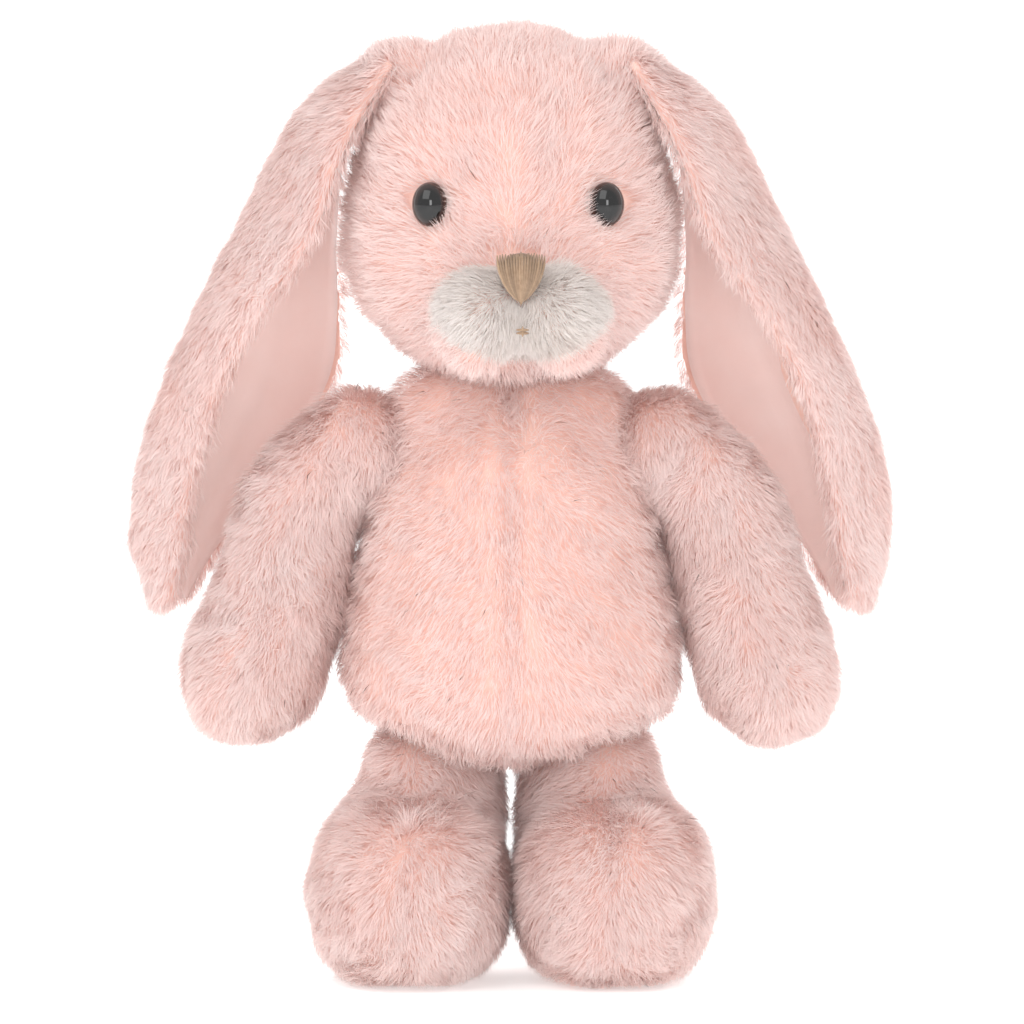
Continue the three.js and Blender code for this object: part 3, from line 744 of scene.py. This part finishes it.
pad.data.materials.append(thread)
nose = mesh_of("nose_stitches", stitches, thread)
chosen(nose, pad)
bpy.ops.object.join()
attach(nose, "head")
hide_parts("nose_embroidery")

low, high = (np.array(v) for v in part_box("mouth_stitch"))
middle = (low + high) / 2
loops = []
for lift in (-0.5, 0.45):
    path = []
    for t in np.linspace(-1, 1, 9):
        spot = np.array([middle[0], low[1] + 2.0 * MM + 0.9 * MM * t * t, middle[2] + lift * MM])
        path.append(spot + face_right * t * 1.9 * MM)
    loops.append(thread_tube(path, 0.5 * MM))
path = [np.array([middle[0], low[1] + 1.9 * MM, middle[2] - t * 1.6 * MM]) for t in np.linspace(-1, 1, 9)]
loops.append(thread_tube(path, 0.42 * MM))
mouth = mesh_of("mouth_stitches", loops, thread)
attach(mouth, "head")
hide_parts("mouth_stitch")

# ---------------------------------------------------------------- ears
# Each long ear is a layer of pile cloth outside and a smooth satin lining inside. It rises from the
# top of the head, folds over and hangs down beside the arm, and the lining lies in long soft folds.
satin, tree, shader = new_material("pale_pink_satin")
place = node(tree, "ShaderNodeTexCoord")
rim = node(tree, "ShaderNodeAttribute", attribute_name="rim")
# The lighter and darker pink bands over the lining are painted shade of its folds.
fold_shade = node(tree, "ShaderNodeTexNoise", {"Vector": place.outputs["Object"], "Scale": 60.0, "Detail": 3.0})
weave = node(tree, "ShaderNodeTexNoise", {"Vector": place.outputs["Object"], "Scale": 1800.0, "Detail": 2.0})
soft = node(tree, "ShaderNodeMix", {"Factor": fold_shade.outputs["Fac"]}, data_type="RGBA")
soft.inputs["A"].default_value = srgb("#F4D5CE")
soft.inputs["B"].default_value = srgb("#F9E3DE")
# The near-white strip along the lining's front edge is a painted highlight, where the satin catches the light.
edge_highlighted = node(tree, "ShaderNodeMix", {"Factor": rim.outputs["Fac"]}, data_type="RGBA")
tree.links.new(soft.outputs["Result"], edge_highlighted.inputs["A"])
edge_highlighted.inputs["B"].default_value = srgb("#FDF8F6")
tree.links.new(edge_highlighted.outputs["Result"], shader.inputs["Base Color"])
nap = node(tree, "ShaderNodeBump", {"Height": weave.outputs["Fac"], "Strength": 0.25, "Distance": 0.0002})
tree.links.new(nap.outputs["Normal"], shader.inputs["Normal"])
shader.inputs["Roughness"].default_value = 0.5
shader.inputs["Sheen Weight"].default_value = 0.5
shader.inputs["Sheen Roughness"].default_value = 0.3

# Stations in millimetres down the left ear's front edge, its outer ridge and its back edge.
FRONT_RAIL = [(36, -13, 282), (50.5, -20, 256), (60, -20, 230), (77, -14, 206),
              (90, -6, 182), (98, 1, 156), (102, 6, 134), (105, 10, 117)]
RIDGE_RAIL = [(35, 0, 284), (60, 0, 267), (76, 3, 238), (88, 7, 212),
              (99, 11, 186), (109, 14, 160), (113, 15, 136), (108, 14, 115)]
BACK_RAIL = [(36, 13, 282), (52, 24, 258), (55, 34, 230), (54, 39, 206),
             (56, 40, 184), (72, 37, 156), (90, 30, 134), (103, 20, 116)]


def rail_points(rail, count):
    """Evenly run points of a smooth curve through the rail's stations."""
    rail = np.array(rail, float) * MM
    padded = np.vstack([2 * rail[0] - rail[1], rail, 2 * rail[-1] - rail[-2]])
    points = []
    for t in np.linspace(0, len(rail) - 1, count):
        k = min(int(t), len(rail) - 2)
        f = t - k
        p0, p1, p2, p3 = padded[k:k + 4]
        points.append(0.5 * (2 * p1 + (p2 - p0) * f + (2 * p0 - 5 * p1 + 4 * p2 - p3) * f ** 2
                             + (3 * p1 - p0 - 3 * p2 + p3) * f ** 3))
    return np.array(points)


EAR_ROWS = 72
EAR_COLUMNS = 28
EAR_CLOTH = 3.0 * MM
LINING_REACH = 0.95
for side, hand in (("left", 1), ("right", -1)):
    mirror = np.array([hand, 1, 1])
    front, ridge, back = (rail_points(rail, EAR_ROWS) * mirror for rail in (FRONT_RAIL, RIDGE_RAIL, BACK_RAIL))
    across = np.linspace(-LINING_REACH, LINING_REACH, EAR_COLUMNS)
    grid = (front[:, None] * ((across ** 2 - across) / 2)[None, :, None]
            + ridge[:, None] * (1 - across ** 2)[None, :, None]
            + back[:, None] * ((across ** 2 + across) / 2)[None, :, None])
    down = np.gradient(grid, axis=0)
    over = np.gradient(grid, axis=1)
    inward = np.cross(down, over)
    inward /= np.maximum(np.linalg.norm(inward, axis=2), 1e-9)[:, :, None]
    middle_of_head = np.array([0, 10 * MM, 0.200])
    centre = (EAR_ROWS // 2, EAR_COLUMNS // 2)
    if ((middle_of_head - grid[centre]) * inward[centre]).sum() < 0:
        inward = -inward
    run = np.linspace(0, 1, EAR_ROWS)[:, None]
    tucked = (1 - eased(run, 0.02, 0.10)) * 2.0
    wide_folds = 2.3 * np.sin(9.0 * across[None, :] + 2.2 * np.sin(3.0 * run + hand))
    folds = wide_folds + 1.1 * np.sin(17 * across[None, :] - 4 * run)
    folds = folds * np.sin(math.pi * np.clip(run, 0.02, 0.98)) ** 0.5
    folds = folds * (1 - (across[None, :] / LINING_REACH) ** 4)
    sheet_points = grid + inward * (2.9 + folds - tucked)[:, :, None] * MM
    rows = [[r * EAR_COLUMNS + c for c in range(EAR_COLUMNS)] for r in range(EAR_ROWS)]
    faces = [(rows[r][c], rows[r][c + 1], rows[r + 1][c + 1], rows[r + 1][c])
             for r in range(EAR_ROWS - 1) for c in range(EAR_COLUMNS - 1)]
    lining = mesh_of(f"ear_{side}_satin", [(sheet_points.reshape(-1, 3).tolist(), faces)], satin)
    # The rim value marks the painted highlight along the lining's front edge.
    rim_highlight_values = lining.data.attributes.new("rim", "FLOAT", "POINT")
    front_edge_highlight = eased(-np.tile(across, EAR_ROWS), 0.48, 0.56)
    rim_highlight_values.data.foreach_set("value", front_edge_highlight.astype(np.float32))
    finish_modifier(lining, "SOLIDIFY", thickness=0.5 * MM, offset=0.0)
    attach(lining, f"ear_{side}")
    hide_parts(f"ear_{side}_lining")

    whole = np.linspace(-1, 1, EAR_COLUMNS)
    cloth = (front[:, None] * ((whole ** 2 - whole) / 2)[None, :, None]
             + ridge[:, None] * (1 - whole ** 2)[None, :, None]
             + back[:, None] * ((whole ** 2 + whole) / 2)[None, :, None])
    inner_points = (cloth + inward * 0.4 * MM).reshape(-1, 3)
    outer_points = (cloth - inward * EAR_CLOTH).reshape(-1, 3)
    count = len(inner_points)
    edge = (rows[0] + [row[-1] for row in rows[1:]] + rows[-1][-2::-1] + [row[0] for row in rows[-2:0:-1]])
    shell = faces + [tuple(count + k for k in reversed(face)) for face in faces]
    shell += [(edge[k], edge[(k + 1) % len(edge)], count + edge[(k + 1) % len(edge)], count + edge[k])
              for k in range(len(edge))]
    ear_skin = mesh_of(f"ear_{side}_cloth", [(np.vstack([inner_points, outer_points]).tolist(), shell)], backing)
    finish_modifier(ear_skin, "REMESH", mode="VOXEL", voxel_size=1.6 * MM)
    finish_modifier(ear_skin, "SMOOTH", factor=0.5, iterations=5)
    chosen(ear_skin)
    bpy.ops.object.shade_smooth()
    inner_surface = BVHTree.FromPolygons([Vector(spot) for spot in inner_points], faces)

    def ear_keep(spots, normals, surface=inner_surface):
        return np.array([surface.find_nearest(Vector(spot))[3] > 0.6 * MM for spot in spots])

    def ear_brush(spots, normals, hand=hand):
        high_up = eased(spots[:, 2], 0.245, 0.285)
        return np.stack([hand * (0.35 + 0.6 * high_up), np.zeros(len(spots)), -1 + 0.4 * high_up], axis=1)

    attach(ear_skin, f"ear_{side}")
    ear_pile = grow_pile(f"ear_{side}_pile", ear_skin, 150000, ear_brush, 71 + hand, pink_pile,
                         keep=ear_keep, length=7.2 * MM, rise=0.7)
    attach(ear_pile, f"ear_{side}")
    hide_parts(f"ear_{side}_fur")

# ---------------------------------------------------------------- hidden parts
# Washers clamp the eyes inside the face.
washer_plastic, tree, shader = new_material("washer_plastic")
place = node(tree, "ShaderNodeTexCoord")
haze = node(tree, "ShaderNodeTexNoise", {"Vector": place.outputs["Object"], "Scale": 300.0, "Detail": 2.0})
tone = node(tree, "ShaderNodeMix", {"Factor": haze.outputs["Fac"]}, data_type="RGBA")
tone.inputs["A"].default_value = srgb("#E4E2DD")
tone.inputs["B"].default_value = srgb("#F2F0EC")
tree.links.new(tone.outputs["Result"], shader.inputs["Base Color"])
shader.inputs["Roughness"].default_value = 0.4
for side in ("left", "right"):
    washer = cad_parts[f"eye_washer_{side}"]
    washer.data.materials.clear()
    washer.data.materials.append(washer_plastic)
